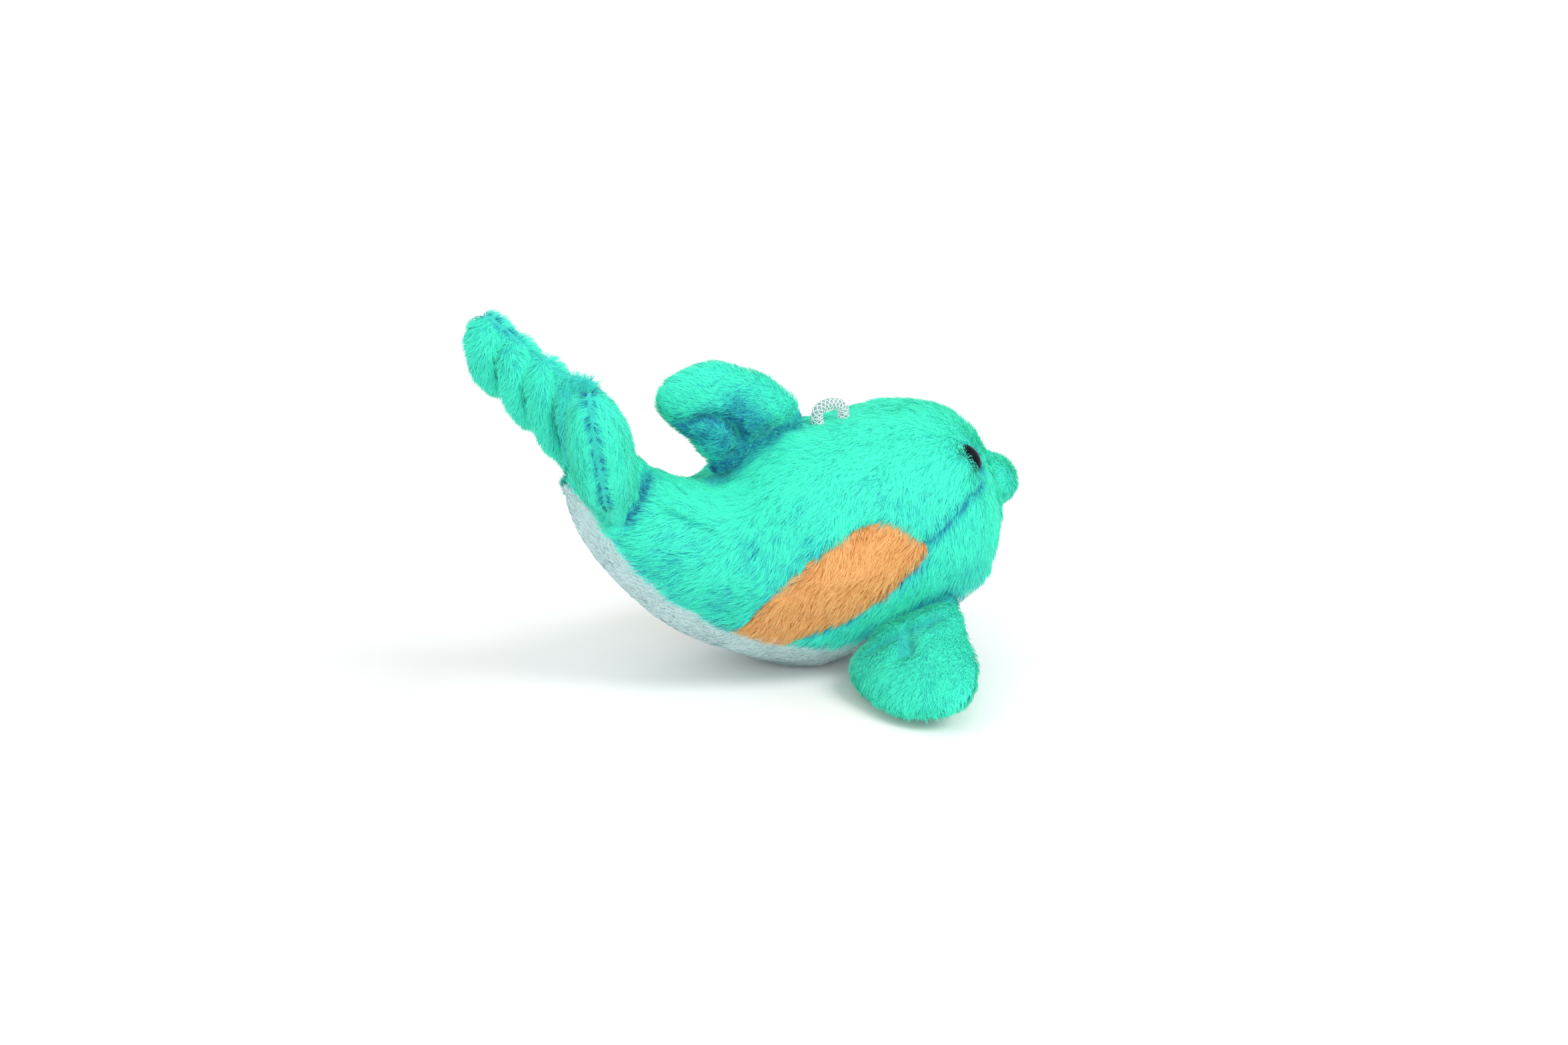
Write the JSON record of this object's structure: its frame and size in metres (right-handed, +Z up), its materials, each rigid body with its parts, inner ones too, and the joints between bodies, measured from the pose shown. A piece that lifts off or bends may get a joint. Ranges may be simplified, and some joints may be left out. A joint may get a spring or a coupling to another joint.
{
  "type": "plush dolphin keychain",
  "caption": "Small stuffed plush dolphin with a turquoise back, white belly, orange flank patches and a sewn-in hanging loop.",
  "frame": {"origin": "centre of the bounding box at the plane the belly rests on", "axes": "+X towards the snout, +Y to the dolphin's left, +Z up"},
  "size_m": [0.1042, 0.1, 0.0689],
  "materials": {
    "turquoise_plush": "combed pile",
    "white_plush": "short pile",
    "orange_plush": "combed pile",
    "fibre_filling": "loose polyester fibre",
    "eye": "polished",
    "washer": "moulded",
    "loop_cord": "braided clear filament"
  },
  "bodies": {
    "body": {"belly_panel": "white_plush", "side_panel_right": "turquoise_plush", "flank_patch_right": "orange_plush", "eye_right": "eye", "eye_washer_right": "washer", "side_panel_left": "turquoise_plush", "flank_patch_left": "orange_plush", "eye_left": "eye", "eye_washer_left": "washer", "body_stuffing": "fibre_filling", "loop_knot": "loop_cord", "snout": "turquoise_plush"},
    "dorsal_fin": {"dorsal_fin_left_cover": "turquoise_plush", "dorsal_fin_right_cover": "turquoise_plush", "dorsal_fin_filling": "fibre_filling"},
    "flipper_right": {"flipper_right_upper_cover": "turquoise_plush", "flipper_right_lower_cover": "turquoise_plush", "flipper_right_filling": "fibre_filling"},
    "flipper_left": {"flipper_left_lower_cover": "turquoise_plush", "flipper_left_upper_cover": "turquoise_plush", "flipper_left_filling": "fibre_filling"},
    "fluke_right": {"fluke_right_rear_cover": "turquoise_plush", "fluke_right_front_cover": "turquoise_plush", "fluke_right_filling": "fibre_filling"},
    "fluke_left": {"fluke_left_front_cover": "turquoise_plush", "fluke_left_rear_cover": "turquoise_plush", "fluke_left_filling": "fibre_filling"},
    "hang_loop": {"hang_loop": "loop_cord"}
  },
  "joints": [
    {"name": "dorsal_fin_bend", "type": "hinge", "parent": "body", "child": "dorsal_fin", "pos_m": [-0.00206, 0, 0.04424], "axis": [0.9073, 0, 0.4205], "range_deg": [-20, 20], "stiffness_Nm_per_rad": 0.004},
    {"name": "flipper_right_lift", "type": "hinge", "parent": "body", "child": "flipper_right", "pos_m": [0.02153, -0.01832, 0.01075], "axis": [-0.8879, 0.2885, -0.3584], "range_deg": [-18, 18], "stiffness_Nm_per_rad": 0.008},
    {"name": "flipper_left_lift", "type": "hinge", "parent": "body", "child": "flipper_left", "pos_m": [0.02153, 0.01832, 0.01075], "axis": [0.8879, 0.2885, 0.3584], "range_deg": [-18, 18], "stiffness_Nm_per_rad": 0.008},
    {"name": "fluke_right_fold", "type": "hinge", "parent": "body", "child": "fluke_right", "pos_m": [-0.0337, -0.0035, 0.04826], "axis": [-0.1392, 0, 0.9903], "range_deg": [-12, 12], "stiffness_Nm_per_rad": 0.008},
    {"name": "fluke_left_fold", "type": "hinge", "parent": "body", "child": "fluke_left", "pos_m": [-0.0337, 0.0035, 0.05126], "axis": [0.1392, 0, -0.9903], "range_deg": [-12, 12], "stiffness_Nm_per_rad": 0.008},
    {"name": "loop_swing", "type": "hinge", "parent": "body", "child": "hang_loop", "pos_m": [0.01294, 0, 0.04856], "axis": [0.997, 0, 0.0768], "range_deg": [-60, 60], "stiffness_Nm_per_rad": 0.00005}
  ]
}
